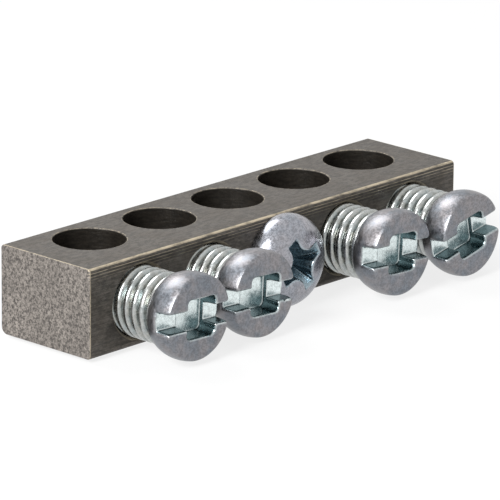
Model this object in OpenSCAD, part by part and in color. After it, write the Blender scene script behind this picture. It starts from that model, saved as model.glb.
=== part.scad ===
// Earth terminal bar: a drawn metal bar with a row of upright wire holes.
// A ball-headed terminal screw enters each wire hole from the front and clamps its wire.
// The middle hole carries no wire: a pan head mounting screw crosses it and holds the bar.
// X runs along the bar, the screws enter from the -Y side and +Z is up.
// The origin is the middle of the bar's bottom face, and all lengths are millimetres.

/* [Bar] */
// Distance from one wire hole to the next
hole_pitch = 8.53; // [8.2:0.01:14]
// Distance from the middle of an end screw to the end of the bar
end_margin = 6.07; // [4.2:0.01:15]
// Depth of the bar from its front face to its rear face
bar_depth = 10.6; // [9:0.1:18]
// Height of the bar
bar_h = 7.93; // [7.2:0.01:14]
// Radius of the bar's long edges
edge_r = 0.35; // [0.1:0.05:0.9]
// Radius of the long edge at the bottom of the rear face
rear_edge_r = 0.65; // [0.1:0.05:1.2]

/* [Wire holes] */
// Diameter of the wire holes
wire_hole_d = 6.35; // [4:0.05:6.8]
// Wall left between the wire holes and the rear face
rear_wall = 1.09; // [0.5:0.01:2]
// How far the row of wire holes lies past the row of screws, along the bar
wire_row_shift = 0.24; // [-0.5:0.02:0.5]

/* [Terminal screws] */
// Outer diameter of the thread
thread_d = 6.25; // [4:0.05:6.6]
// Distance from one turn of the thread to the next
thread_pitch = 0.907; // [0.7:0.001:1]
// Gap between the thread and its hole, measured on the radius
thread_gap = 0.04; // [0.02:0.01:0.1]
// Width of the countersink around the mouth of each screw hole
mouth_bevel = 0.24; // [0.05:0.01:0.4]
// How far the row of screws lies below the middle of the bar's height
screw_drop = 0.09; // [0:0.01:0.3]
// Length of the thread below the head
thread_l = 6.35; // [5.5:0.05:14]
// Bevel at the tip of the thread
tip_bevel = 0.45; // [0.1:0.05:1]
// Gap from the tip of a screw that is not backed out to the wire hole
tip_gap = 0.14; // [0.05:0.01:0.5]
// How far each screw is backed out, from left to right
backed_out = [0.57, 0.12, 0.57, 1.17]; // [0:0.01:2]
// How far each screw's slot is turned from level, from left to right, in degrees
slot_turn = [-2.5, -3, -3.5, 12]; // [-90:0.5:90]

/* [Terminal screw heads] */
// How far the head stands out past the thread, on the radius
head_step = 0.695; // [0.4:0.005:1]
// Height of the head
head_h = 3.0; // [2:0.05:5]
// Height of the part of the head past its widest ring
head_tip_h = 1.1; // [0.6:0.05:1.6]
// Bevel around the end face of the head
face_bevel = 0.2; // [0.05:0.05:0.4]
// Width of the slot
slot_w = 1.63; // [0.8:0.01:2]
// Depth of the slot
slot_depth = 1.5; // [0.5:0.05:1.9]
// Width of the square socket across its flats
socket_w = 3.35; // [2.5:0.01:3.6]
// Radius of the square socket's corners
socket_corner_r = 0.5; // [0.1:0.05:0.6]
// Depth of the square socket
socket_depth = 1.9; // [1.6:0.05:2.7]

/* [Mounting screw] */
// Diameter of the mounting screw's shank
mount_d = 4.15; // [3:0.05:5]
// Gap between the shank and its hole, measured on the radius
mount_gap = 0.12; // [0.1:0.01:0.4]
// How far the shank stands out of the rear face
mount_reach = 2.1; // [1:0.1:20]
// Bevel at the tip of the shank
mount_tip_bevel = 0.4; // [0.1:0.05:0.6]
// Diameter of the pan head
pan_d = 8.3; // [8:0.05:10]
// Height of the pan head
pan_h = 3.05; // [2.9:0.05:4]
// Radius of the pan head's rounded side
pan_side_r = 1.95; // [1:0.05:2]
// Height of the pan head's widest ring above its seat
pan_side_h = 0.85; // [0.4:0.05:1]
// Span of the cross recess from wing tip to wing tip, at the crown of the head
cross_span = 5.1; // [4:0.05:5.6]
// Span of the cross recess from wing tip to wing tip, at its floor
cross_floor_span = 1.84; // [1.4:0.02:3]
// Width of each wing of the cross recess
cross_w = 1.1; // [0.6:0.05:1.15]
// Radius of the cross recess's round core, at the crown of the head
cross_core_r = 1.19; // [0.8:0.01:1.5]
// Radius of the cross recess's round core, at its floor
cross_floor_core_r = 0.59; // [0.4:0.01:0.8]
// Depth of the cross recess below the crown of the head
cross_depth = 2.5; // [1.5:0.05:2.8]
// How far the cross recess is turned from upright, in degrees
cross_turn = 28; // [0:1:89]

/* [Hidden] */
$fn = 96;

past = 1;                                   // how far a cut runs past the face it opens
bar_l = 4 * hole_pitch + 2 * end_margin;
front_y = -bar_depth / 2;
rear_y = bar_depth / 2;
wire_y = rear_y - rear_wall - wire_hole_d / 2;
front_wall = bar_depth - rear_wall - wire_hole_d;
screw_z = bar_h / 2 - screw_drop;
screw_steps = [-2, -1, 1, 2];               // the screws' places, in pitches from the middle
tap_d = thread_d + 2 * thread_gap;
groove_h = 0.55 * thread_pitch;             // depth of the thread's groove, on the radius
groove_flank = groove_h * tan(30);          // the flanks stand at 60 degrees to each other
groove_floor = thread_pitch / 2 - groove_flank;
shown_l = thread_l - front_wall + tip_gap;  // thread in sight on a screw that is not backed out
head_r = thread_d / 2 + head_step;
head_face_r = sqrt(head_r * head_r - head_tip_h * head_tip_h);
mount_l = bar_depth + mount_reach;
pan_side_x = pan_d / 2 - pan_side_r;
pan_side_drop = pan_h - pan_side_h;
// The crown's radius, chosen so that the crown runs smoothly into the rounded side
crown_r = (pow(pan_side_x, 2) + pow(pan_side_drop, 2) - pow(pan_side_r, 2))
          / (2 * (pan_side_drop - pan_side_r));
crown_z = pan_h - crown_r;

// Stands its children up on the front face: their +Z points out of the bar, along -Y.
module on_front(x, z) {
    translate([x, front_y, z]) rotate([90, 0, 0]) children();
}

// The bar's section: a rectangle of depth and height with its corners rounded.
module bar_section() {
    corners = [[-1, 0, edge_r], [-1, 1, edge_r], [1, 1, edge_r], [1, 0, rear_edge_r]];
    difference() {
        translate([front_y, 0]) square([bar_depth, bar_h]);
        for (c = corners)
            translate([c[0] * (bar_depth / 2 - c[2] / 2), c[1] * (bar_h - c[2]) + c[2] / 2])
                square(c[2], center = true);
    }
    for (c = corners)
        translate([c[0] * (bar_depth / 2 - c[2]), c[1] * (bar_h - 2 * c[2]) + c[2]])
            circle(c[2]);
}

// A tapped hole from the front face into the wire hole, with a countersunk mouth.
module screw_hole() {
    translate([0, 0, front_y - wire_y]) cylinder(d = tap_d, h = wire_y - front_y + past);
    translate([0, 0, -mouth_bevel])
        cylinder(r1 = tap_d / 2, r2 = tap_d / 2 + mouth_bevel + past, h = mouth_bevel + past);
}

// The drawn bar with its wire holes, screw holes and mounting hole.
module bar() {
    color("#6e665e")
    difference() {
        rotate([90, 0, 90]) linear_extrude(bar_l, center = true) bar_section();
        for (i = [-2 : 2])
            translate([i * hole_pitch + wire_row_shift, wire_y, -past])
                cylinder(d = wire_hole_d, h = bar_h + 2 * past);
        for (i = screw_steps)
            on_front(i * hole_pitch, screw_z) screw_hole();
        on_front(0, screw_z)
            translate([0, 0, -bar_depth - past])
                cylinder(d = mount_d + 2 * mount_gap, h = bar_depth + 2 * past);
    }
}

// A shank that hangs down from z = 0, with a bevelled tip.
module shank(d, l, bevel) {
    translate([0, 0, bevel - l]) cylinder(d = d, h = l - bevel);
    translate([0, 0, -l]) cylinder(r1 = d / 2 - bevel, r2 = d / 2, h = bevel);
}

// One ring of the thread's groove, cut around z = 0.
module thread_groove() {
    over = 0.1;
    floor_r = thread_d / 2 - groove_h;
    mouth = groove_floor / 2 + (groove_h + over) * tan(30);
    rotate_extrude()
        polygon([[floor_r, -groove_floor / 2], [floor_r, groove_floor / 2],
                 [thread_d / 2 + over, mouth], [thread_d / 2 + over, -mouth]]);
}

// A terminal screw's threaded shank: closed rings of the thread's pitch, down to the tip's bevel.
module threaded_shank() {
    difference() {
        shank(thread_d, thread_l, tip_bevel);
        for (i = [1 : floor((thread_l - tip_bevel) / thread_pitch)])
            translate([0, 0, (0.5 - i) * thread_pitch]) thread_groove();
    }
}

// The ball head of a terminal screw: a ball cut flat at the neck and at the end face.
module ball_head() {
    intersection() {
        translate([0, 0, head_h - head_tip_h]) sphere(head_r);
        union() {
            cylinder(r = head_r, h = head_h - face_bevel);
            translate([0, 0, head_h - face_bevel])
                cylinder(r1 = head_face_r, r2 = head_face_r - face_bevel, h = face_bevel);
        }
    }
}

// A square with its corners rounded.
module rounded_square(w, r) {
    square([w, w - 2 * r], center = true);
    square([w - 2 * r, w], center = true);
    for (x = [-1, 1], y = [-1, 1])
        translate([x, y] * (w / 2 - r)) circle(r);
}

// The drive of a terminal screw: a slot right across the head and a square socket.
module slot_and_socket() {
    translate([-head_r - past, -slot_w / 2, head_h - slot_depth])
        cube([2 * (head_r + past), slot_w, slot_depth + past]);
    translate([0, 0, head_h - socket_depth])
        linear_extrude(socket_depth + past) rounded_square(socket_w, socket_corner_r);
}

// One terminal screw, numbered 1 to 4 from the left, as far out as its hole holds it.
module terminal_screw(number) {
    out = shown_l + backed_out[number - 1];
    color("#b9bec2")
    on_front(screw_steps[number - 1] * hole_pitch, screw_z)
        translate([0, 0, out])
            rotate([0, 0, slot_turn[number - 1]])
                difference() {
                    union() {
                        threaded_shank();
                        ball_head();
                    }
                    slot_and_socket();
                }
}

// Half of the pan head's section: a wide low crown that runs into a rounded side.
module pan_section() {
    reach = crown_r / (crown_r - pan_side_r);
    meet = [pan_side_x * reach, crown_z + (pan_side_h - crown_z) * reach];
    intersection() {
        square([pan_d / 2, pan_h]);
        union() {
            translate([pan_side_x, pan_side_h]) circle(pan_side_r);
            square([pan_side_x, pan_side_h]);
            intersection() {
                translate([0, crown_z]) circle(crown_r);
                polygon([[0, 0], [pan_side_x, 0], [pan_side_x, pan_side_h], meet,
                         [meet[0], pan_h + past], [0, pan_h + past]]);
            }
        }
    }
}

// A cross recess: two tapered blades at right angles around a tapered core.
module cross_recess() {
    slope = (cross_span - cross_floor_span) / 2 / cross_depth;
    core_slope = (cross_core_r - cross_floor_core_r) / cross_depth;
    for (turn = [0, 90])
        rotate([90, 0, turn])
            linear_extrude(cross_w, center = true)
                polygon([[-cross_floor_span / 2, -cross_depth],
                         [cross_floor_span / 2, -cross_depth],
                         [cross_span / 2 + slope * past, past],
                         [-cross_span / 2 - slope * past, past]]);
    translate([0, 0, -cross_depth])
        cylinder(r1 = cross_floor_core_r, r2 = cross_core_r + core_slope * past,
                 h = cross_depth + past);
}

// The mounting screw, seated on the front face, with its tip out past the rear face.
module mounting_screw() {
    color("#aeb3b8")
    on_front(0, screw_z)
        difference() {
            union() {
                shank(mount_d, mount_l, mount_tip_bevel);
                rotate_extrude() pan_section();
            }
            translate([0, 0, pan_h]) rotate([0, 0, cross_turn]) cross_recess();
        }
}

bar();
terminal_screw(1);  // terminal_screw_1
terminal_screw(2);  // terminal_screw_2
terminal_screw(3);  // terminal_screw_3
terminal_screw(4);  // terminal_screw_4
mounting_screw();
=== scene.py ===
"""Looks of an earth terminal bar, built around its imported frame.

Lengths inside the classes are millimetres in the part's own frame: X runs along the bar, the screws
enter from the -Y side, +Z is up and the origin is the middle of the bar's bottom face. They become
metres only where a mesh is written.

A screw has axes of its own: its z points out of the bar along -Y, its x lies along X and its y
along Z, before the screw's turn is added.
"""
import logging
import math
from dataclasses import dataclass, field
from enum import Enum
from typing import Callable

import bmesh
import bpy
import numpy as np
from mathutils import Matrix, Vector


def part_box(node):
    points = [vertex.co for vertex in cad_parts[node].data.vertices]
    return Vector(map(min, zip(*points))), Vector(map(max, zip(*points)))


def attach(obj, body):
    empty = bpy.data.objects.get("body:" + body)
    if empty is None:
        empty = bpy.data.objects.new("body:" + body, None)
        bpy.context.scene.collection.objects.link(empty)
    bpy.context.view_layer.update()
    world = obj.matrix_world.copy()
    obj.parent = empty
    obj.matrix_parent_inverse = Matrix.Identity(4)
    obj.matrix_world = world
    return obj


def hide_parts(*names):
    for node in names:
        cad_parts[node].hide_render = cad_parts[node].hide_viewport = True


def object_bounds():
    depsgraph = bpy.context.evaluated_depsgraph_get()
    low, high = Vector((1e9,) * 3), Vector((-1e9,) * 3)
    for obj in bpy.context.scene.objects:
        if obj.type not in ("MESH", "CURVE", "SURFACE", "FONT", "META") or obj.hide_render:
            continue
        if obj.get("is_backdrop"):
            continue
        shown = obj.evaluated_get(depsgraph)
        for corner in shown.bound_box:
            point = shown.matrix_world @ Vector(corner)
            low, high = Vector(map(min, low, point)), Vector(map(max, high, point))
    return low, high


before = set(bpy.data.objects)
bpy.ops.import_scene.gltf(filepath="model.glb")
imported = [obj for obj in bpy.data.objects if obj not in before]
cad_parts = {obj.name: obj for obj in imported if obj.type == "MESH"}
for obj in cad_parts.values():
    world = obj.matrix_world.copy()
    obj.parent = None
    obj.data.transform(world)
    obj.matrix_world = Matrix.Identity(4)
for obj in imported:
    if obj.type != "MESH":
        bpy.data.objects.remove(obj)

MM = 0.001
Field = Callable[[np.ndarray], np.ndarray]
log = logging.getLogger("earth_bar")


class Axis(Enum):
    """An axis of the part, as the place of its number in a point."""

    X = 0
    Y = 1
    Z = 2


class Blend(Enum):
    """How two colours are put together, in Blender's words."""

    MIX = "MIX"
    MULTIPLY = "MULTIPLY"


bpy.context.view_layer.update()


# ---------------------------------------------------------------- surfaces from arrays


def smooth_max(a: np.ndarray, b: np.ndarray, width: float) -> np.ndarray:
    """The larger of two distances, with the rim where they meet rounded.

    The formula is max(a, b) + h * h * width / 4, where h falls from 1 to 0 as a and b part by
    width.

    Args:
        a: One distance at each point.
        b: The other distance at each point.
        width: How wide the rounded band is.

    Returns:
        The distance of the shape that both fields hold.
    """
    h = np.maximum(width - np.abs(a - b), 0.0) / width
    return np.maximum(a, b) + h * h * width / 4


def smooth_min(a: np.ndarray, b: np.ndarray, width: float) -> np.ndarray:
    """The smaller of two distances, with the nook where they meet rounded."""
    return -smooth_max(-a, -b, width)


def uneven(points: np.ndarray, size: float, seed: int) -> np.ndarray:
    """A gentle unevenness from about -1 to 1: the sum of seven sine waves in set directions.

    Args:
        points: Points in millimetres, in the last axis of the array.
        size: The length of a wave in millimetres.
        seed: Which set of directions is used.

    Returns:
        One value at each point.
    """
    draw = np.random.default_rng(seed)
    ways = draw.normal(size=(7, 3))
    ways *= draw.uniform(0.6, 1.6, (7, 1)) / np.linalg.norm(ways, axis=1, keepdims=True)
    phases = draw.uniform(0, 2 * math.pi, 7)
    return np.sin(points @ ways.T * (2 * math.pi / size) + phases).sum(-1) / 4


def slope_of(shape: Field, points: np.ndarray, reach: float) -> np.ndarray:
    """The field's slope: on each axis, the difference of two values over the way between them."""
    steps = np.eye(3) * reach
    return np.stack([shape(points + s) - shape(points - s) for s in steps], -1) / (2 * reach)


def fold_of(shape: Field, points: np.ndarray, reach: float) -> np.ndarray:
    """How sharply a surface folds: the mean of six values around a point, less its own, over reach.

    It is above 0 on rims and below 0 in nooks.
    """
    around = sum(shape(points + s) + shape(points - s) for s in np.eye(3) * reach) / 6
    return (around - shape(points)) / reach


def drive_marks(shape: Field, recess: Field, points: np.ndarray,
                fade: float) -> dict[str, np.ndarray]:
    """The marks of a head: its rims and nooks by how it folds, its drive, and the drive's walls.

    Args:
        shape: The head's distance field.
        recess: The distance field of the drive that is cut into it.
        points: The points on the head, with the screw's axis as their z.
        fade: How far the drive's mark runs out over its rim.

    Returns:
        The marks by name.
    """
    fold = fold_of(shape, points, 0.14)
    slope = slope_of(shape, points, 0.03)
    facing = np.abs(slope[..., 2]) / np.maximum(np.linalg.norm(slope, axis=-1), 1e-9)
    # The nook mark is where the finish paints shade into creases; the wall mark is where it paints
    # the drive's walls darker than its floor.
    return {"rim": np.clip(fold * 4.5 - 0.3, 0, 1) * 0.75,
            "nook": np.clip(-fold * 3.5 - 0.1, 0, 1) * 0.85,
            "drive": np.clip(1 - (recess(points) - 0.02) / fade, 0, 1),
            "wall": np.clip(1.35 - 1.6 * facing, 0, 1)}


def wrap_field(shape: Field, low: tuple[float, float, float], high: tuple[float, float, float],
               step: float) -> tuple[np.ndarray, np.ndarray]:
    """Wraps four-sided faces around the space in which a field is below 0.

    Each cell of a cubic grid with both signs at its corners holds one point, the mean of the places
    where its edges cross 0. Each grid edge that crosses 0 joins the points of the four cells around
    it. The points then slide down the field's slope until they lie on the surface itself.

    Args:
        shape: The distance field.
        low: The grid's lowest corner.
        high: The grid's highest corner.
        step: The side of a cell.

    Returns:
        The points, and the faces as rows of four point numbers.
    """
    axes = [np.arange(a, b + step, step) for a, b in zip(low, high)]
    value = shape(np.stack(np.meshgrid(*axes, indexing="ij"), -1))
    inside = value < 0
    nx, ny, nz = (n - 1 for n in value.shape)
    offsets = [(i, j, k) for i in (0, 1) for j in (0, 1) for k in (0, 1)]
    count = sum(inside[i:i + nx, j:j + ny, k:k + nz].astype(np.int8) for i, j, k in offsets)
    mixed = (count > 0) & (count < 8)
    cells = np.argwhere(mixed)
    number = np.full(mixed.shape, -1)
    number[mixed] = np.arange(len(cells))
    total, hits = np.zeros((len(cells), 3)), np.zeros(len(cells))
    for axis in Axis:
        along = np.eye(3, dtype=int)[axis.value]
        for offset in (o for o in offsets if o[axis.value] == 0):
            a = cells + offset
            va, vb = value[tuple(a.T)], value[tuple((a + along).T)]
            cross = (va < 0) != (vb < 0)
            share = np.where(cross, va / np.where(cross, va - vb, 1.0), 0.0)
            total += np.where(cross[:, None], a + share[:, None] * along, 0.0)
            hits += cross
    points = np.array(low) + step * total / hits[:, None]
    for _ in range(4):
        slope = slope_of(shape, points, step / 4)
        pull = shape(points) / np.maximum((slope ** 2).sum(-1), 0.2)
        points = points - np.clip(pull, -step, step)[:, None] * slope
    faces = []
    for axis in Axis:
        a = axis.value
        eb, ec = np.eye(3, dtype=int)[(a + 1) % 3], np.eye(3, dtype=int)[(a + 2) % 3]
        first = np.take(inside, range(inside.shape[a] - 1), a)
        crossing = np.argwhere(first != np.take(inside, range(1, inside.shape[a]), a))
        room = (crossing @ eb > 0) & (crossing @ ec > 0)
        room &= crossing @ eb < mixed.shape[(a + 1) % 3]
        room &= crossing @ ec < mixed.shape[(a + 2) % 3]
        p = crossing[room]
        quad = np.stack([number[tuple((p - q).T)] for q in (eb + ec, ec, 0 * eb, eb)], -1)
        outward = first[tuple(p.T)]
        faces.append(np.where(outward[:, None], quad, quad[:, ::-1]))
    return points, np.concatenate(faces)


def weld(points: np.ndarray, quads: np.ndarray) -> tuple[np.ndarray, np.ndarray, np.ndarray]:
    """Joins points that lie together, and splits quads into triangles that have an area.

    Args:
        points: Points in millimetres.
        quads: Rows of four point numbers.

    Returns:
        The points that stay, the triangles, and each kept point's number among the old ones.
    """
    key = np.round(points / 1e-5).astype(np.int64)
    _, first, back = np.unique(key, axis=0, return_index=True, return_inverse=True)
    q = back.reshape(-1)[quads]
    t = np.concatenate((q[:, [0, 1, 2]], q[:, [0, 2, 3]]))
    whole = (t[:, 0] != t[:, 1]) & (t[:, 1] != t[:, 2]) & (t[:, 0] != t[:, 2])
    return points[first], t[whole], first


def write_mesh(name: str, points: np.ndarray, quads: np.ndarray,
               marks: dict[str, np.ndarray]) -> bpy.types.Object:
    """Writes a smooth mesh from arrays.

    Args:
        name: The piece's name.
        points: Points in millimetres, in the part's frame.
        quads: Rows of four point numbers, anticlockwise from outside.
        marks: Values at the points, which the materials read by name.

    Returns:
        The new object.
    """
    points, triangles, kept = weld(points, quads)
    mesh = bpy.data.meshes.new(name)
    mesh.vertices.add(len(points))
    mesh.vertices.foreach_set("co", (points * MM).astype(np.float32).ravel())
    mesh.loops.add(triangles.size)
    mesh.loops.foreach_set("vertex_index", triangles.astype(np.int32).ravel())
    mesh.polygons.add(len(triangles))
    mesh.polygons.foreach_set("loop_start", np.arange(0, triangles.size, 3, dtype=np.int32))
    mesh.polygons.foreach_set("use_smooth", np.ones(len(triangles), dtype=bool))
    mesh.update(calc_edges=True)
    for key, values in marks.items():
        layer = mesh.attributes.new(key, "FLOAT", "POINT")
        layer.data.foreach_set("value", values[kept].astype(np.float32))
    piece = bpy.data.objects.new(name, mesh)
    bpy.context.scene.collection.objects.link(piece)
    return piece


# ---------------------------------------------------------------- shader nodes


def srgb(red: float, green: float, blue: float) -> tuple[float, float, float, float]:
    """Returns a colour given in 0 to 255 as the linear colour that the shaders take."""
    def line(v: float) -> float:
        """One channel: a power of 2.4 above the short straight foot of the curve."""
        v /= 255
        return v / 12.92 if v <= 0.04045 else ((v + 0.055) / 1.055) ** 2.4
    return line(red), line(green), line(blue), 1.0


class Graph:
    """Adds nodes to one node tree and joins them."""

    def __init__(self, tree: bpy.types.NodeTree) -> None:
        """Keeps the tree that the nodes go into."""
        self.tree = tree

    def put(self, socket: bpy.types.NodeSocket, value: object) -> None:
        """Joins a socket to another node's output, or sets its own value."""
        if isinstance(value, bpy.types.NodeSocket):
            self.tree.links.new(value, socket)
        elif value is not None:
            socket.default_value = value

    def node(self, kind: str, inputs: dict[str | int, object] | None = None,
             **settings: object) -> bpy.types.Node:
        """Adds a node.

        Args:
            kind: The node's type.
            inputs: Values or outputs for its sockets, by name or number.
            settings: The node's own properties.

        Returns:
            The new node.
        """
        made = self.tree.nodes.new(kind)
        for key, value in settings.items():
            setattr(made, key, value)
        for key, value in (inputs or {}).items():
            self.put(made.inputs[key], value)
        return made

    def math(self, kind: str, a: object, b: object = None, c: object = None,
             clamp: bool = False) -> bpy.types.NodeSocket:
        """Adds a Math node on up to three values and returns its output."""
        made = self.node("ShaderNodeMath", operation=kind, use_clamp=clamp)
        for socket, value in zip(made.inputs, (a, b, c)):
            self.put(socket, value)
        return made.outputs[0]

    def ramp(self, value: object, low: float, high: float, out_low: float = 0.0,
             out_high: float = 1.0) -> bpy.types.NodeSocket:
        """Maps low..high to out_low..out_high along a smooth step and returns the result."""
        made = self.node("ShaderNodeMapRange", {0: value, 1: low, 2: high, 3: out_low, 4: out_high},
                         interpolation_type="SMOOTHSTEP")
        return made.outputs[0]

    def mix(self, share: object, a: object, b: object,
            how: Blend = Blend.MIX) -> bpy.types.NodeSocket:
        """Mixes colour a with colour b by a share and returns the colour."""
        made = self.node("ShaderNodeMix", data_type="RGBA", blend_type=how.value)
        for key, value in ((0, share), (6, a), (7, b)):
            self.put(made.inputs[key], value)
        return made.outputs[2]

    def noise(self, place: object, scale: object, detail: float = 2.0,
              rough: float = 0.5) -> bpy.types.NodeSocket:
        """Adds a noise of so many waves a millimetre and returns its value."""
        made = self.node("ShaderNodeTexNoise", {"Vector": place, "Scale": scale, "Detail": detail,
                                                "Roughness": rough})
        return made.outputs[0]

    def stretch(self, place: object, by: tuple[float, float, float]) -> bpy.types.NodeSocket:
        """Multiplies a point's three numbers and returns the point."""
        made = self.node("ShaderNodeVectorMath", {0: place, 1: by}, operation="MULTIPLY")
        return made.outputs[0]

    def place_mm(self) -> bpy.types.NodeSocket:
        """Returns the piece's own coordinates in millimetres."""
        here = self.node("ShaderNodeTexCoord").outputs["Object"]
        return self.stretch(here, (1 / MM, 1 / MM, 1 / MM))

    def mark(self, name: str) -> bpy.types.NodeSocket:
        """Returns a value that the piece's points carry by name."""
        return self.node("ShaderNodeAttribute", attribute_name=name).outputs["Fac"]

    def bump(self, height: object, strength: float, deep_mm: float) -> bpy.types.NodeSocket:
        """Turns a height into a normal and returns it."""
        made = self.node("ShaderNodeBump", {"Height": height, "Strength": strength,
                                            "Distance": deep_mm * MM})
        return made.outputs[0]


def new_group(name: str, inputs: dict[str, float | None],
              outputs: tuple[str, ...]) -> tuple[bpy.types.NodeTree, Graph, dict, dict]:
    """Starts a shader node group.

    Args:
        name: The group's name.
        inputs: Input names, with a default value, or None for a point.
        outputs: Names of the values it puts out.

    Returns:
        The group, its graph, its input sockets and its output sockets, both by name.
    """
    group = bpy.data.node_groups.new(name, "ShaderNodeTree")
    for key, value in inputs.items():
        kind = "NodeSocketVector" if value is None else "NodeSocketFloat"
        socket = group.interface.new_socket(name=key, in_out="INPUT", socket_type=kind)
        if value is not None:
            socket.default_value = value
    for key in outputs:
        group.interface.new_socket(name=key, in_out="OUTPUT", socket_type="NodeSocketFloat")
    graph = Graph(group)
    start, end = graph.node("NodeGroupInput"), graph.node("NodeGroupOutput")
    return group, graph, {s.name: s for s in start.outputs}, {s.name: s for s in end.inputs}


@dataclass(frozen=True)
class Effects:
    """Surface effects that more than one finish uses, each a node group built once."""

    mottle: bpy.types.NodeTree
    speckle: bpy.types.NodeTree
    wear: bpy.types.NodeTree

    @staticmethod
    def build() -> "Effects":
        """Builds the groups for cloudy patches, fine crystals and rubbed rims."""
        mottle, g, i, o = new_group("cloudy_patches", {"Place": None, "Size": 2.0}, ("Patches",))
        rate = g.math("DIVIDE", 1.0, i["Size"])
        g.put(o["Patches"], g.ramp(g.noise(i["Place"], rate, 4, 0.6), 0.32, 0.68))

        speckle, g, i, o = new_group("fine_crystals", {"Place": None, "Size": 0.15},
                                     ("Light", "Height"))
        rate = g.math("DIVIDE", 1.0, i["Size"])
        fine = g.noise(i["Place"], rate, 3, 0.7)
        coarse = g.noise(i["Place"], g.math("MULTIPLY", rate, 0.45), 2, 0.6)
        both = g.math("ADD", g.math("MULTIPLY", fine, 0.62), g.math("MULTIPLY", coarse, 0.38))
        g.put(o["Light"], g.ramp(both, 0.38, 0.62))
        g.put(o["Height"], both)

        wear, g, i, o = new_group("rubbed_rims", {"Place": None, "Rim": 0.0, "Break": 0.5},
                                  ("Wear",))
        patchy = g.ramp(g.noise(i["Place"], 1.6, 4, 0.7), 0.3, 0.62)
        gaps = g.math("SUBTRACT", 1.0, patchy)
        hold = g.math("SUBTRACT", 1.0, g.math("MULTIPLY", i["Break"], gaps))
        g.put(o["Wear"], g.math("MULTIPLY", i["Rim"], hold, clamp=True))
        return Effects(mottle, speckle, wear)


def use(graph: Graph, group: bpy.types.NodeTree,
        **inputs: object) -> dict[str, bpy.types.NodeSocket]:
    """Places a group in a material and returns its outputs by name."""
    made = graph.node("ShaderNodeGroup", node_tree=group)
    for key, value in inputs.items():
        graph.put(made.inputs[key], value)
    return {s.name: s for s in made.outputs}


def new_material(name: str) -> tuple[bpy.types.Material, Graph, bpy.types.Node]:
    """Starts a material and returns it with its graph and its Principled shader."""
    material = bpy.data.materials.new(name)
    material.use_nodes = True
    material.node_tree.nodes.clear()
    graph = Graph(material.node_tree)
    shader = graph.node("ShaderNodeBsdfPrincipled")
    out = graph.node("ShaderNodeOutputMaterial")
    graph.put(out.inputs["Surface"], shader.outputs[0])
    return material, graph, shader


@dataclass(frozen=True)
class ZincFinish:
    """Bright zinc plating: bluish grey and cloudy, paler on its rubbed rims, with painted shade in
    its nooks and a painted reflection and painted shade in its drive.
    """

    name: str
    cool: tuple[float, float, float] = (122, 127, 134)
    warm: tuple[float, float, float] = (140, 137, 139)
    pale: tuple[float, float, float] = (206, 208, 208)
    painted_nook_shade: tuple[float, float, float] = (26, 34, 38)
    drive_floor_sheen: tuple[float, float, float] = (222, 232, 232)
    drive_wall_shade: tuple[float, float, float] = (100, 120, 124)
    rough: float = 0.36
    drive_rough: float = 0.24
    cloud_mm: float = 1.7
    crystal_mm: float = 0.16
    crystal_deep: float = 0.014

    def material(self, effects: Effects) -> bpy.types.Material:
        """Builds the finish from the marks rim, nook, drive and wall on the piece's points.

        Args:
            effects: The shared effects.

        Returns:
            The material.
        """
        made, g, shader = new_material(self.name)
        place = g.place_mm()
        rim, nook, drive = g.mark("rim"), g.mark("nook"), g.mark("drive")
        cloud = use(g, effects.mottle, Place=place, Size=self.cloud_mm)["Patches"]
        grain = use(g, effects.speckle, Place=place, Size=self.crystal_mm)
        worn = use(g, effects.wear, Place=place, Rim=rim, Break=0.5)["Wear"]
        colour = g.mix(cloud, srgb(*self.cool), srgb(*self.warm))
        shade = g.ramp(grain["Light"], 0.0, 1.0, 0.78, 1.16)
        # Painted reflection and painted shade in the drive: its floor is painted pale and its steep
        # walls darker.
        inside = g.mix(g.mark("wall"), srgb(*self.drive_floor_sheen), srgb(*self.drive_wall_shade))
        colour = g.mix(drive, colour, inside)
        colour = g.mix(1.0, colour, shade, Blend.MULTIPLY)
        colour = g.mix(worn, colour, srgb(*self.pale))
        # Painted shade: the nooks and the thread roots are darkened.
        colour = g.mix(nook, colour, srgb(*self.painted_nook_shade))
        g.put(shader.inputs["Base Color"], colour)
        shader.inputs["Metallic"].default_value = 1.0
        rough = g.ramp(drive, 0.0, 1.0, self.rough, self.drive_rough)
        spread = g.ramp(grain["Light"], 0.0, 1.0, -0.05, 0.07)
        g.put(shader.inputs["Roughness"], g.math("ADD", rough, spread))
        g.put(shader.inputs["Normal"], g.bump(grain["Height"], 0.5, self.crystal_deep))
        return made


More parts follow.
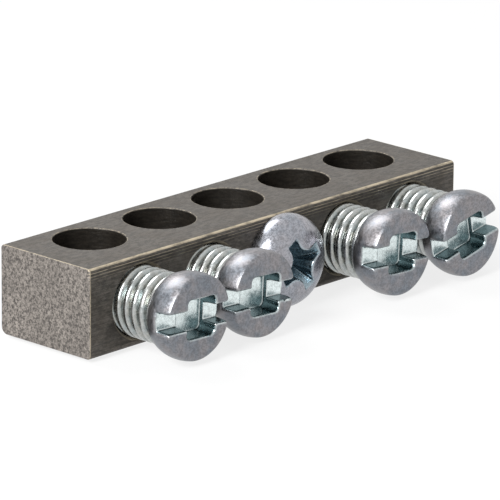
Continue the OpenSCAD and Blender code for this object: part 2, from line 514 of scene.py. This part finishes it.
@dataclass(frozen=True)
class DrawnBarFinish:
    """Dull grey-brown drawn metal: lengthwise lines, speckled sawn ends, rubbed rims and a painted
    highlight along the top front edge.
    """

    half_length: float
    height: float
    half_depth: float
    pitch: float
    hole_x: float
    hole_y: float
    hole_r: float
    screw_z: float
    mouth_r: float
    top_dark: tuple[float, float, float] = (60, 57, 53)
    top_light: tuple[float, float, float] = (96, 91, 85)
    umber: tuple[float, float, float] = (70, 62, 52)
    end_dark: tuple[float, float, float] = (66, 62, 59)
    end_light: tuple[float, float, float] = (146, 139, 132)
    wear_and_sheen: tuple[float, float, float] = (206, 192, 166)
    bore_shade: tuple[float, float, float] = (40, 36, 31)
    line_mm: float = 0.27

    def band(self, g: Graph, value: object, low: float, high: float,
             soft: float) -> bpy.types.NodeSocket:
        """Returns 1 while a value lies from low to high, and falls to 0 over soft on both sides."""
        return g.math("MULTIPLY", g.ramp(value, low - soft, low), g.ramp(value, high + soft, high))

    def ring(self, g: Graph, x: object, shift: float, other: object, middle: float,
             holes: float) -> tuple[bpy.types.NodeSocket, bpy.types.NodeSocket]:
        """Measures out from the nearest of a row of holes.

        The place along the bar is folded onto one hole, so its distance is the root of the folded
        place squared plus the other axis's place squared.

        Args:
            g: The graph.
            x: The place along the bar.
            shift: Where the row's middle hole lies along the bar.
            other: The place on the holes' other axis.
            middle: Where the holes' middles lie on it.
            holes: How many pitches the row reaches to each side.

        Returns:
            The distance from the hole's axis, and 1 where the row has a hole.
        """
        along = g.math("SUBTRACT", x, shift - self.pitch / 2)
        fold = g.math("SUBTRACT", g.math("FLOORED_MODULO", along, self.pitch), self.pitch / 2)
        across = g.math("SUBTRACT", other, middle)
        squares = g.math("ADD", g.math("POWER", fold, 2.0), g.math("POWER", across, 2.0))
        out = g.math("SQRT", squares)
        in_row = g.math("LESS_THAN", g.math("ABSOLUTE", g.math("SUBTRACT", x, shift)),
                        (holes + 0.5) * self.pitch)
        return out, in_row

    def material(self, effects: Effects) -> bpy.types.Material:
        """Builds the finish from the place on the bar.

        Args:
            effects: The shared effects.

        Returns:
            The material.
        """
        made, g, shader = new_material("drawn_bar")
        place = g.place_mm()
        split = g.node("ShaderNodeSeparateXYZ", {0: place}).outputs
        x, y, z = split[0], split[1], split[2]
        below = g.math("SUBTRACT", self.height, z)
        lines = g.noise(g.stretch(place, (0.03, 1.0, 1.0)), 6.0, 4, 0.75)
        hairs = g.noise(g.stretch(place, (0.05, 1.0, 1.0)), 13.0, 2, 0.6)
        cloud = use(g, effects.mottle, Place=place, Size=2.6)["Patches"]
        grain = use(g, effects.speckle, Place=place, Size=0.16)
        pits = use(g, effects.speckle, Place=g.stretch(place, (0.45, 1, 1)), Size=0.2)["Light"]

        # Where each kind of surface lies
        reach = g.math("ABSOLUTE", x)
        end = g.ramp(reach, self.half_length - 0.05, self.half_length - 0.01)
        end_rim = self.band(g, reach, self.half_length - 0.09, self.half_length - 0.04, 0.03)
        front = g.ramp(y, -self.half_depth + 0.36, -self.half_depth + 0.1)

        # Drawn faces: umber and grey clouds, short pits, and lengthwise lines on the long sides
        pitted = g.ramp(pits, 0.0, 1.0, 0.15, 0.95)
        grey = g.mix(pitted, srgb(*self.top_dark), srgb(*self.top_light))
        colour = g.mix(g.math("MULTIPLY", cloud, 0.4), grey, srgb(*self.umber))
        streak = g.math("MULTIPLY", g.ramp(lines, 0.32, 0.68, 0.62, 1.25),
                        g.ramp(hairs, 0.3, 0.7, 0.8, 1.15))
        share = g.ramp(front, 0.0, 1.0, 0.35, 1.0)
        colour = g.mix(share, colour, g.mix(1.0, colour, streak, Blend.MULTIPLY))
        sawn = g.mix(grain["Light"], srgb(*self.end_dark), srgb(*self.end_light))
        sawn = g.mix(g.math("MULTIPLY", cloud, 0.3), sawn, srgb(*self.end_dark))
        colour = g.mix(end, colour, sawn)

        # Painted highlight: a bright line along the top front edge, and a few that fade down the
        # front face
        turn = g.math("MULTIPLY", g.math("SUBTRACT", below, 0.05), 2 * math.pi / self.line_mm)
        wave = g.math("SINE", turn)
        fine = g.math("MULTIPLY", g.ramp(wave, 0.5, 1.0), g.ramp(below, 1.5, 0.25, 0.0, 0.8))
        fine = g.math("MULTIPLY", fine, front)
        fine = g.math("MULTIPLY", fine, g.ramp(hairs, 0.3, 0.55))
        edge_sheen = self.band(g, y, -self.half_depth + 0.13, -self.half_depth + 0.25, 0.05)
        edge_sheen = g.math("MULTIPLY", edge_sheen, g.ramp(below, 0.2, 0.1))
        rim = g.math("MAXIMUM", g.math("MULTIPLY", edge_sheen, 0.85), fine)
        rim = g.math("MAXIMUM", rim, g.math("MULTIPLY", end_rim, 0.6))

        # Wire holes and the mouths of the screw holes
        out, in_row = self.ring(g, x, self.hole_x, y, self.hole_y, 2)
        lip = g.math("MULTIPLY", self.band(g, out, self.hole_r + 0.03, self.hole_r + 0.08, 0.03),
                     g.math("MULTIPLY", g.ramp(below, 0.1, 0.03), in_row))
        rim = g.math("MAXIMUM", rim, g.math("MULTIPLY", g.math("MULTIPLY", lip, pits), 0.5))
        away, has_screw = self.ring(g, x, 0.0, z, self.screw_z, 2)
        mouth = g.math("MULTIPLY", g.ramp(away, self.mouth_r + 0.03, self.mouth_r - 0.02),
                       g.math("MULTIPLY",
                              g.ramp(y, -self.half_depth + 0.26, -self.half_depth + 0.2),
                              has_screw))
        rim = g.math("MAXIMUM", rim, g.math("MULTIPLY", mouth, 0.35))
        # The same pale colour is real wear on the end rims, hole lips and screw mouths, and painted
        # highlight on the front edge lines.
        worn = use(g, effects.wear, Place=g.stretch(place, (0.5, 1, 1)), Rim=rim, Break=0.7)["Wear"]
        colour = g.mix(worn, colour, srgb(*self.wear_and_sheen))
        # Painted shade: the wire holes' walls are painted dark, with turned rings in them.
        bored = g.math("MULTIPLY", g.ramp(out, self.hole_r + 0.03, self.hole_r + 0.01), in_row)
        bored = g.math("MULTIPLY", bored, g.ramp(below, 0.02, 0.12))
        turned = g.noise(g.stretch(place, (0.25, 0.25, 1.0)), 5.0, 4, 0.7)
        shaded_bore = g.mix(1.0, srgb(*self.bore_shade), g.ramp(turned, 0.3, 0.7, 0.5, 1.3), Blend.MULTIPLY)
        colour = g.mix(bored, colour, shaded_bore)
        g.put(shader.inputs["Base Color"], colour)
        shader.inputs["Metallic"].default_value = 0.35
        drawn_rough = g.ramp(lines, 0.2, 0.8, 0.46, 0.62)
        rough = g.math("SUBTRACT", drawn_rough, g.math("MULTIPLY", bored, 0.16))
        g.put(shader.inputs["Roughness"], g.math("ADD", rough, g.math("MULTIPLY", end, 0.08)))
        drawn = g.math("MULTIPLY", lines, g.math("SUBTRACT", share, g.math("MULTIPLY", end, share)))
        rise = g.math("MULTIPLY", grain["Height"], g.ramp(end, 0.0, 1.0, 0.9, 1.8))
        rise = g.math("ADD", g.math("ADD", drawn, rise), g.math("MULTIPLY", bored, turned))
        g.put(shader.inputs["Normal"], g.bump(rise, 0.8, 0.035))
        return made


# ---------------------------------------------------------------- the pieces


@dataclass(frozen=True)
class ScrewPlace:
    """Where a screw stands: its axis, its seat on the part's Y and its turn."""

    x: float
    z: float
    seat_y: float
    turn: float

    @staticmethod
    def of(node: str, head_h: float, turn: float) -> "ScrewPlace":
        """Reads a screw's place from its node's box.

        Args:
            node: The CAD node.
            head_h: How far its seat lies behind its end face.
            turn: The turn of its slot in degrees.

        Returns:
            The place.
        """
        low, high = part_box(node)
        return ScrewPlace((low.x + high.x) / 2 / MM, (low.z + high.z) / 2 / MM,
                          low.y / MM + head_h, math.radians(turn))

    def put(self, points: np.ndarray) -> np.ndarray:
        """Turns points about the screw's axis and carries them from its axes to the part's."""
        c, s = math.cos(self.turn), math.sin(self.turn)
        x = points[:, 0] * c - points[:, 1] * s
        y = points[:, 0] * s + points[:, 1] * c
        return np.stack((self.x + x, self.seat_y - points[:, 2], self.z + y), -1)


@dataclass
class Thread:
    """A machine thread under a head, closed at its tip and inside its head."""

    radius: float
    pitch: float
    depth: float
    length: float
    tip_bevel: float
    phase: float = 0.0
    top: float = 0.3
    core_r: float = 0.0
    core_deep: float = 0.0
    around: int = 96
    per_pitch: int = 16

    def profile(self, share: np.ndarray) -> np.ndarray:
        """The thread's height from root, 0, to crest, 1, at a share of its pitch.

        With r as 1.18 times the way from the root's middle to the crest's, held to 1, the height is
        (r * (2 - r)) ** 0.9, which gives a sharp root and a broad crest.
        """
        way = 1 - np.abs(2 * (share - np.floor(share)) - 1)
        rise = np.clip(way * 1.18, 0, 1)
        return (rise * (2 - rise)) ** 0.9

    def surface(self) -> tuple[np.ndarray, np.ndarray, np.ndarray]:
        """Carries the profile along a helix.

        A point's two parameters are its angle and its way u along the axis. Its radius is the
        thread's, root plus depth times the profile at (u / pitch - angle / turn), or the limit's
        where that is less. The limit follows a path: out from the axis over the tip, up the tip's
        bevel, along the thread, in over the top, down the core and in to the axis.

        Returns:
            The points, the faces and each point's height in the thread.
        """
        stop = self.radius - self.tip_bevel
        at_u = [-self.length - stop, -self.length, -self.length + self.tip_bevel, self.top]
        at_r = [0.0, stop, self.radius, self.radius]
        at_z = [-self.length, -self.length, -self.length + self.tip_bevel, self.top]
        inward = self.radius - self.core_r
        at_u += [self.top + inward]
        at_r += [self.core_r]
        at_z += [self.top]
        if self.core_r > 0:
            down = self.top + self.core_deep
            at_u += [at_u[-1] + down, at_u[-1] + down + self.core_r]
            at_r += [self.core_r, 0.0]
            at_z += [-self.core_deep, -self.core_deep]
        n, k = self.around, self.per_pitch
        rows = int((at_u[-1] - at_u[0]) / self.pitch * k) + 2 * k + 2
        row, column = np.meshgrid(np.arange(rows + k), np.arange(n), indexing="ij")
        angle = column / n * 2 * math.pi
        u = at_u[0] - self.pitch * (1 - column / n) + (row - 1) * self.pitch / k
        limit, z = np.interp(u, at_u, at_r), np.interp(u, at_u, at_z)
        height = self.profile(u / self.pitch - column / n + self.phase)
        r = np.minimum(self.radius - self.depth * (1 - height), limit)
        points = np.stack((r * np.cos(angle), r * np.sin(angle), z), -1).reshape(-1, 3)
        j, i = np.meshgrid(np.arange(rows - 1), np.arange(n), indexing="ij")
        last = i + 1 == n
        here, right = j * n + i, np.where(last, (j + k) * n, j * n + i + 1)
        quads = np.stack((here, right, right + n, here + n), -1).reshape(-1, 4)
        return points, quads, height.ravel()

    def build(self, name: str, place: ScrewPlace) -> bpy.types.Object:
        """Writes the thread as a piece with its marks and returns it."""
        points, quads, height = self.surface()
        none = np.zeros(len(points))
        # The crests carry rubbed wear, and the roots carry painted shade.
        marks = {"rim": np.clip(height * 2 - 1.1, 0, 1) * 0.6,
                 "nook": np.clip(1 - height * 2.6, 0, 1) * 0.9, "drive": none, "wall": none}
        return write_mesh(name, place.put(points), quads, marks)


@dataclass
class BallHead:
    """The ball head of a terminal screw, with its slot and square socket."""

    seed: int
    radius: float = 3.82
    height: float = 3.0
    tip_h: float = 1.1
    slot_w: float = 1.63
    slot_deep: float = 1.5
    socket_w: float = 3.35
    socket_corner: float = 0.5
    socket_deep: float = 1.9
    aside: tuple[float, float] = (0.0, 0.0)
    draft: float = 0.05
    core_r: float = 2.45
    core_deep: float = 0.5
    face_round: float = 0.26
    rim_round: float = 0.34
    dents: float = 0.022
    burr: bool = False
    step: float = 0.08

    def recess(self, p: np.ndarray) -> np.ndarray:
        """Distance to the space that is cut away: the slot joined to the square socket.

        The slot is |y| less half its width, and the socket is a square with rounded corners. Each
        is open at the end face, has a floor and narrows a little on its way down to it.
        """
        x, y, z = p[..., 0] - self.aside[0], p[..., 1] - self.aside[1], p[..., 2]
        narrow = self.draft * (self.height - 0.5 - z)
        slot = smooth_max(np.abs(y) - self.slot_w / 2 + narrow,
                          self.height - self.slot_deep - z, 0.1)
        half = self.socket_w / 2 - self.socket_corner - narrow
        qx, qy = np.abs(x) - half, np.abs(y) - half
        square = np.hypot(np.maximum(qx, 0), np.maximum(qy, 0)) + np.minimum(np.maximum(qx, qy), 0)
        square = square - self.socket_corner
        socket = smooth_max(square, self.height - self.socket_deep - z, 0.15)
        return smooth_min(slot, socket, 0.12)

    def shape(self, p: np.ndarray) -> np.ndarray:
        """Distance to the head: a ball cut flat at both ends, on a core, less the recess."""
        z = p[..., 2]
        ball = np.linalg.norm(p - (0, 0, self.height - self.tip_h), axis=-1) - self.radius
        ball = ball + self.dents * uneven(p, 4.5, self.seed)
        face = z - self.height + 0.3 * self.dents * uneven(p, 2.5, self.seed + 50)
        head = smooth_max(smooth_max(ball, face, self.face_round), -z, 0.1)
        core = np.maximum(np.hypot(p[..., 0], p[..., 1]) - self.core_r,
                          np.maximum(-self.core_deep - z, z - 1.0))
        solid = np.minimum(head, core)
        worn = self.rim_round * (1 + 0.35 * uneven(p, 2.2, self.seed + 90))
        cut = smooth_max(solid, -self.recess(p), np.maximum(worn, 0.1))
        if self.burr:
            tear = np.linalg.norm(p - (2.75, -0.95, self.height - 0.02), axis=-1) - 0.34
            tear = tear + 0.16 * uneven(p, 0.8, 7)
            cut = smooth_min(cut, np.maximum(tear, z - self.height), 0.08)
        return cut

    def build(self, name: str, place: ScrewPlace) -> bpy.types.Object:
        """Wraps the shape, marks its rims, nooks and drive, and writes it as a piece."""
        side = self.radius + 0.2
        points, quads = wrap_field(self.shape, (-side, -side, -self.core_deep - 0.2),
                                   (side, side, self.height + 0.2), self.step)
        return write_mesh(name, place.put(points), quads,
                          drive_marks(self.shape, self.recess, points, 0.14))


@dataclass
class PanHead:
    """The pan head of the mounting screw, with its cross recess."""

    seed: int
    diameter: float = 8.3
    height: float = 3.05
    side_r: float = 1.95
    side_h: float = 0.85
    cross_span: float = 5.1
    cross_floor_span: float = 1.84
    cross_w: float = 1.1
    cross_core_r: float = 1.19
    cross_floor_core_r: float = 0.59
    cross_deep: float = 2.5
    lobe: float = 0.7
    rim_round: float = 0.2
    dents: float = 0.015
    step: float = 0.08

    def recess(self, p: np.ndarray) -> np.ndarray:
        """Distance to the cross: two tapered blades at right angles around a tapered core."""
        x, y, z = np.abs(p[..., 0]), np.abs(p[..., 1]), p[..., 2]
        up = (z - self.height + self.cross_deep) / self.cross_deep
        reach = (self.cross_floor_span + (self.cross_span - self.cross_floor_span) * up) / 2
        blade_x = smooth_max(y - self.cross_w / 2, (x - reach) * 0.84, 0.12)
        blade_y = smooth_max(x - self.cross_w / 2, (y - reach) * 0.84, 0.12)
        core_r = self.cross_floor_core_r + (self.cross_core_r - self.cross_floor_core_r) * up
        core = (np.hypot(x, y) - core_r) * 0.97
        cross = smooth_min(smooth_min(blade_x, blade_y, self.lobe), core, self.lobe)
        return smooth_max(cross, self.height - self.cross_deep - z, 0.15)

    def shape(self, p: np.ndarray) -> np.ndarray:
        """Distance to the head: a wide crown arc that runs into a side arc, cut flat at its seat.

        A point belongs to the crown's arc while it lies nearer the axis than the line from the
        crown's middle through the side's middle, and to the side's arc beyond that line.
        """
        r, z = np.hypot(p[..., 0], p[..., 1]), p[..., 2]
        side_x, drop = self.diameter / 2 - self.side_r, self.height - self.side_h
        crown_r = (side_x ** 2 + drop ** 2 - self.side_r ** 2) / (2 * (drop - self.side_r))
        crown_z = self.height - crown_r
        crown = np.hypot(r, z - crown_z) - crown_r
        side = np.hypot(r - side_x, z - self.side_h) - self.side_r
        on_crown = r * (self.side_h - crown_z) < side_x * (z - crown_z)
        dome = np.where(on_crown, crown, side) + self.dents * uneven(p, 5.0, self.seed)
        worn = self.rim_round * (1 + 0.3 * uneven(p, 2.0, self.seed + 90))
        return smooth_max(smooth_max(dome, -z, 0.12), -self.recess(p), np.maximum(worn, 0.08))

    def build(self, name: str, place: ScrewPlace) -> bpy.types.Object:
        """Wraps the shape, marks its rims, nooks and drive, and writes it as a piece."""
        side = self.diameter / 2 + 0.2
        points, quads = wrap_field(self.shape, (-side, -side, -0.2),
                                   (side, side, self.height + 0.2), self.step)
        return write_mesh(name, place.put(points), quads,
                          drive_marks(self.shape, self.recess, points, 0.12))


@dataclass
class TerminalScrews:
    """The four terminal screws, each a ball head and a thread that ride on the screw's body."""

    turns: tuple[float, ...] = (-2.5, -3.0, -3.5, 12.0)
    phases: tuple[float, ...] = (0.1, 0.35, 0.2, 0.6)
    aside: tuple[tuple[float, float], ...] = ((0.3, 0.0), (0.08, 0.0), (0.0, 0.1), (0.0, 0.0))
    torn: tuple[bool, ...] = (False, True, False, False)

    def build(self, head_finish: bpy.types.Material, thread_finish: bpy.types.Material) -> None:
        """Builds each screw in place of its CAD node.

        Args:
            head_finish: The plating on the heads.
            thread_finish: The plating on the threads.
        """
        for i, turn in enumerate(self.turns):
            node, body = f"terminal_screw_{i + 1}", f"screw_{i + 1}"
            head = BallHead(seed=10 * (i + 1), aside=self.aside[i], burr=self.torn[i])
            place = ScrewPlace.of(node, head.height, turn)
            thread = Thread(radius=3.125, pitch=0.907, depth=0.46, length=6.35, tip_bevel=0.45,
                            phase=self.phases[i])
            pieces = ((head.build(f"ball_head_{i + 1}", place), head_finish),
                      (thread.build(f"screw_thread_{i + 1}", place), thread_finish))
            for piece, finish in pieces:
                piece.data.materials.append(finish)
                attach(piece, body)
                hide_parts(node)
                log.info("%s: %d triangles", piece.name, len(piece.data.polygons))


@dataclass
class MountingScrew:
    """The pan head screw that crosses the middle hole."""

    turn: float = 28.0

    def build(self, head_finish: bpy.types.Material, thread_finish: bpy.types.Material) -> None:
        """Builds the head and its thread in place of the CAD node.

        Args:
            head_finish: The plating on the head.
            thread_finish: The plating on the thread.
        """
        head = PanHead(seed=70)
        place = ScrewPlace.of("mounting_screw", head.height, self.turn)
        thread = Thread(radius=2.075, pitch=0.794, depth=0.38, length=12.7, tip_bevel=0.4,
                        around=64)
        for piece, finish in ((head.build("pan_head", place), head_finish),
                              (thread.build("mounting_thread", place), thread_finish)):
            piece.data.materials.append(finish)
            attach(piece, "bar_body")
            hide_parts("mounting_screw")
            log.info("%s: %d triangles", piece.name, len(piece.data.polygons))


@dataclass
class Bar:
    """The drawn bar: a merged copy of its CAD solid with its sharp rims broken."""

    pitch: float = 8.53
    hole_shift: float = 0.24
    hole_y: float = 1.035
    hole_r: float = 3.175
    screw_z: float = 3.875
    mouth_r: float = 3.405
    rim_break: float = 0.08
    low: Vector = field(init=False)
    high: Vector = field(init=False)

    def __post_init__(self) -> None:
        """Reads the bar's box from its node."""
        low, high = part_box("bar")
        self.low, self.high = low / MM, high / MM

    def build(self, effects: Effects) -> None:
        """Builds the bar in place of its CAD node and dresses it.

        Args:
            effects: The shared effects.
        """
        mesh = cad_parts["bar"].data.copy()
        mesh.name = "drawn_bar"
        mesh.materials.clear()
        work = bmesh.new()
        work.from_mesh(mesh)
        bmesh.ops.remove_doubles(work, verts=work.verts, dist=1e-7)
        bmesh.ops.dissolve_limit(work, angle_limit=math.radians(0.4), verts=work.verts,
                                 edges=work.edges)
        weight = work.edges.layers.float.new("bevel_weight_edge")
        for edge in work.edges:
            edge[weight] = 1.0 if self.breaks(edge) else 0.0
        work.to_mesh(mesh)
        work.free()
        mesh.polygons.foreach_set("use_smooth", np.ones(len(mesh.polygons), dtype=bool))
        mesh.set_sharp_from_angle(angle=math.radians(32))
        piece = bpy.data.objects.new("drawn_bar", mesh)
        bpy.context.scene.collection.objects.link(piece)
        bevel = piece.modifiers.new("broken_rims", "BEVEL")
        bevel.limit_method = "WEIGHT"
        bevel.width = self.rim_break * MM
        bevel.segments = 3
        bevel.use_clamp_overlap = False
        bevel.harden_normals = True
        finish = DrawnBarFinish(self.high.x, self.high.z, self.high.y, self.pitch, self.hole_shift,
                                self.hole_y, self.hole_r, self.screw_z, self.mouth_r)
        mesh.materials.append(finish.material(effects))
        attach(piece, "bar_body")
        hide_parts("bar")
        log.info("%s: %d faces before its rims are broken", piece.name, len(mesh.polygons))

    def breaks(self, edge: bmesh.types.BMEdge) -> bool:
        """Says whether an edge is a sharp rim of a wire hole or of an end face."""
        if len(edge.link_faces) != 2 or edge.calc_face_angle(0.0) < math.radians(40):
            return False
        ends = [v.co / MM for v in edge.verts]
        top = all(abs(p.z - self.high.z) < 0.01 for p in ends)
        bottom = all(abs(p.z) < 0.01 for p in ends)
        sawn = all(abs(abs(p.x) - self.high.x) < 0.01 for p in ends)
        return top or bottom or sawn


# ---------------------------------------------------------------- floor, light and camera


@dataclass(frozen=True)
class Softbox:
    """A square soft lamp: where it stands from the part's middle, its side and its power."""

    name: str
    at_mm: tuple[float, float, float]
    side_mm: float
    watts: float

    def build(self, aim: Vector) -> None:
        """Adds the lamp and points it at the aim, in metres."""
        lamp = bpy.data.lights.new(self.name, "AREA")
        lamp.size = self.side_mm * MM
        lamp.energy = self.watts
        stand = bpy.data.objects.new(self.name, lamp)
        stand.location = aim + Vector(self.at_mm) * MM
        stand.rotation_euler = (aim - stand.location).to_track_quat("-Z", "Y").to_euler()
        bpy.context.scene.collection.objects.link(stand)


@dataclass(frozen=True)
class Studio:
    """A plain pale floor, soft lamps and the camera."""

    azimuth: float = -47.10
    elevation: float = 17.16
    roll: float = 0.58
    distance_mm: float = 442.9
    lens_mm: float = 365.616
    sensor_mm: float = 36.0
    aside_mm: tuple[float, float] = (-1.413, 0.470)
    ambient: float = 0.3
    floor_glow: float = 0.8
    lamps: tuple[Softbox, ...] = (
        Softbox("left_softbox", (-415.0, -55.0, 280.0), 200.0, 3.3),
        Softbox("rear_softbox", (40.0, 320.0, 370.0), 260.0, 1.1),
    )

    def add_floor(self) -> None:
        """Adds the floor under the part, pale to the eye and to metal, and shaded by the part."""
        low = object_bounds()[0].z - 0.00002
        far = 1.5
        mesh = bpy.data.meshes.new("floor")
        mesh.from_pydata([(-far, -far, low), (far, -far, low), (far, far, low), (-far, far, low)],
                         [], [(0, 1, 2, 3)])
        floor = bpy.data.objects.new("floor", mesh)
        bpy.context.scene.collection.objects.link(floor)
        material, g, shader = new_material("pale_floor")
        shader.inputs["Base Color"].default_value = (0.9, 0.9, 0.9, 1)
        shader.inputs["Roughness"].default_value = 0.9
        shader.inputs["Specular IOR Level"].default_value = 0.1
        glow = g.node("ShaderNodeEmission", {"Color": (1, 1, 1, 1), "Strength": 1.0})
        share = g.math("MULTIPLY", self.seen(g), self.floor_glow)
        both = g.node("ShaderNodeMixShader", {0: share, 1: shader.outputs[0], 2: glow.outputs[0]})
        out = next(n for n in g.tree.nodes if n.type == "OUTPUT_MATERIAL")
        g.put(out.inputs["Surface"], both.outputs[0])
        mesh.materials.append(material)
        floor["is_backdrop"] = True

    @staticmethod
    def seen(graph: Graph) -> bpy.types.NodeSocket:
        """Returns 1 for what the eye, a reflection or a clear body shows, and 0 for plain light."""
        path = graph.node("ShaderNodeLightPath").outputs
        both = graph.math("ADD", path["Is Camera Ray"], path["Is Glossy Ray"])
        return graph.math("ADD", both, path["Is Transmission Ray"], clamp=True)

    def add_world(self) -> None:
        """Sets a white surround to look at, and a plain grey one to be lit by."""
        world = bpy.data.worlds.new("pale_surround")
        world.use_nodes = True
        world.node_tree.nodes.clear()
        g = Graph(world.node_tree)
        strength = g.ramp(self.seen(g), 0.0, 1.0, self.ambient, 1.0)
        back = g.node("ShaderNodeBackground", {"Color": (1, 1, 1, 1), "Strength": strength})
        out = g.node("ShaderNodeOutputWorld")
        g.put(out.inputs["Surface"], back.outputs[0])
        bpy.context.scene.world = world

    def add_camera(self, aim: Vector) -> None:
        """Adds the camera: it looks along its angles at the aim, moved aside in its own plane.

        Args:
            aim: The middle of the bar, in metres.
        """
        a, e, roll = (math.radians(v) for v in (self.azimuth, self.elevation, self.roll))
        back = Vector((math.sin(a) * math.cos(e), -math.cos(a) * math.cos(e), math.sin(e)))
        right = (-back).cross(Vector((0, 0, 1))).normalized()
        up = right.cross(-back)
        c, s = math.cos(roll), math.sin(roll)
        right, up = right * c + up * s, up * c - right * s
        shift_x, shift_y = self.aside_mm
        place = aim + (back * self.distance_mm - right * shift_x - up * shift_y) * MM
        lens = bpy.data.cameras.new("camera")
        lens.sensor_width = self.sensor_mm
        lens.lens = self.lens_mm
        lens.clip_start, lens.clip_end = 0.01, 10.0
        camera = bpy.data.objects.new("camera", lens)
        camera.matrix_world = Matrix((
            (right.x, up.x, back.x, place.x), (right.y, up.y, back.y, place.y),
            (right.z, up.z, back.z, place.z), (0, 0, 0, 1)))
        bpy.context.scene.collection.objects.link(camera)
        bpy.context.scene.camera = camera

    def build(self) -> None:
        """Builds the floor, the surround, the lamps and the camera around the bar's middle."""
        low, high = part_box("bar")
        aim = (low + high) / 2
        self.add_camera(aim)
        self.add_floor()
        self.add_world()
        for lamp in self.lamps:
            lamp.build(aim)
        bpy.context.scene.view_settings.view_transform = "Standard"


def main() -> None:
    """Builds the studio and the pieces in order."""
    logging.basicConfig(level=logging.INFO, format="%(message)s")
    Studio().build()
    effects = Effects.build()
    Bar().build(effects)
    heads = ZincFinish("plated_heads").material(effects)
    threads = ZincFinish("plated_threads", cool=(150, 158, 158), warm=(158, 158, 152), rough=0.26,
                         cloud_mm=0.8, crystal_mm=0.3, crystal_deep=0.003).material(effects)
    # The pan head's cross gets its own painted sheen on its floor and painted shade on its walls.
    pan = ZincFinish("plated_pan", cool=(150, 154, 162), warm=(160, 159, 164), rough=0.26,
                     drive_floor_sheen=(150, 166, 174), drive_wall_shade=(140, 156, 164)).material(effects)
    TerminalScrews().build(heads, threads)
    MountingScrew().build(pan, threads)


if __name__ == "__main__":
    main()
